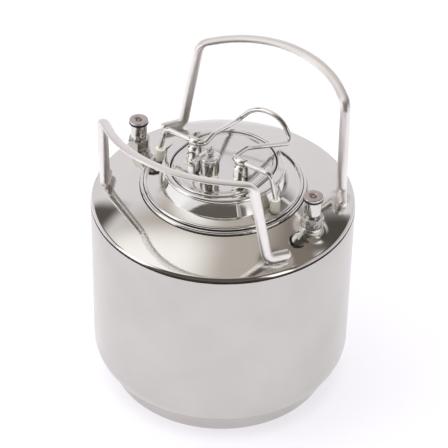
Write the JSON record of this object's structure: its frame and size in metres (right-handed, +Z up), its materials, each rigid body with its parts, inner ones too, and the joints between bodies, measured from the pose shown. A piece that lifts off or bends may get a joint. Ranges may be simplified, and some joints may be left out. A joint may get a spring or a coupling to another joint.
{
  "type": "soda keg",
  "caption": "Low stainless soda keg with an oval lid held by a wire bail, a pull-ring relief valve, gas and liquid ball-lock posts and two rod handles.",
  "frame": {"origin": "centre of the foot ring's lower edge", "axes": "+Z up along the keg's axis; +X towards the gas post; +Y towards the end of the locked bail lever"},
  "size_m": [0.232, 0.232, 0.2923],
  "materials": {
    "satin_steel": "satin",
    "polished_steel": "mirror polished",
    "handle_steel": "electropolished",
    "wire_steel": "polished",
    "valve_steel": "turned and polished",
    "spring_steel": "drawn wire",
    "black_rubber": "satin",
    "ivory_plastic": "moulded"
  },
  "bodies": {
    "keg": {"foot_ring": "satin_steel", "bottom_head": "satin_steel", "body_tube": "satin_steel", "top_head": "polished_steel", "neck_collar": "polished_steel", "lid_seat": "polished_steel", "front_handle": "handle_steel", "back_handle": "handle_steel", "gas_fitting": "valve_steel", "gas_post": "valve_steel", "gas_post_oring": "black_rubber", "gas_poppet_spring": "spring_steel", "gas_dip_tube": "valve_steel", "gas_tube_oring": "black_rubber", "liquid_fitting": "valve_steel", "liquid_post": "valve_steel", "liquid_post_oring": "black_rubber", "liquid_poppet_spring": "spring_steel", "liquid_dip_tube": "valve_steel", "liquid_tube_oring": "black_rubber"},
    "lid": {"lid_plate": "polished_steel", "lid_oring": "black_rubber", "lid_bracket_left": "wire_steel", "lid_bracket_right": "wire_steel", "prv_body": "valve_steel", "prv_cap": "valve_steel", "prv_nut": "valve_steel", "prv_gasket": "black_rubber", "prv_spring": "spring_steel"},
    "bail_lever": {"bail": "wire_steel", "bail_foot_left": "ivory_plastic", "bail_foot_right": "ivory_plastic"},
    "relief_stem": {"prv_stem": "valve_steel", "prv_seal": "black_rubber"},
    "pull_ring": {"prv_pull_ring": "wire_steel"},
    "gas_valve": {"gas_poppet": "valve_steel", "gas_poppet_seal": "black_rubber"},
    "liquid_valve": {"liquid_poppet": "valve_steel", "liquid_poppet_seal": "black_rubber"}
  },
  "joints": [
    {"name": "lid_drop", "type": "slide", "parent": "keg", "child": "lid", "axis": [0, 0, -1], "range_m": [0, 0.00244]},
    {"name": "bail_swing", "type": "hinge", "parent": "lid", "child": "bail_lever", "pos_m": [0, -0.01, 0.2406], "axis": [1, 0, 0], "range_deg": [0, 100]},
    {"name": "relief_lift", "type": "slide", "parent": "lid", "child": "relief_stem", "axis": [0, 0, 1], "range_m": [0, 0.003], "stiffness_N_per_m": 1500, "springref_m": -0.004, "deforming": ["prv_spring"]},
    {"name": "pull_ring_swing", "type": "hinge", "parent": "relief_stem", "child": "pull_ring", "pos_m": [0, -0.021, 0.2476], "axis": [0, 1, 0], "range_deg": [0, 180]},
    {"name": "gas_poppet_press", "type": "slide", "parent": "keg", "child": "gas_valve", "axis": [0, 0, -1], "range_m": [0, 0.003], "stiffness_N_per_m": 600, "springref_m": -0.006, "deforming": ["gas_poppet_spring"]},
    {"name": "liquid_poppet_press", "type": "slide", "parent": "keg", "child": "liquid_valve", "axis": [0, 0, -1], "range_m": [0, 0.003], "stiffness_N_per_m": 600, "springref_m": -0.006, "deforming": ["liquid_poppet_spring"]}
  ],
  "couplings": [
    {"joint": "bail_swing", "follows": "lid_drop", "rad_per_m": 714.29}
  ]
}
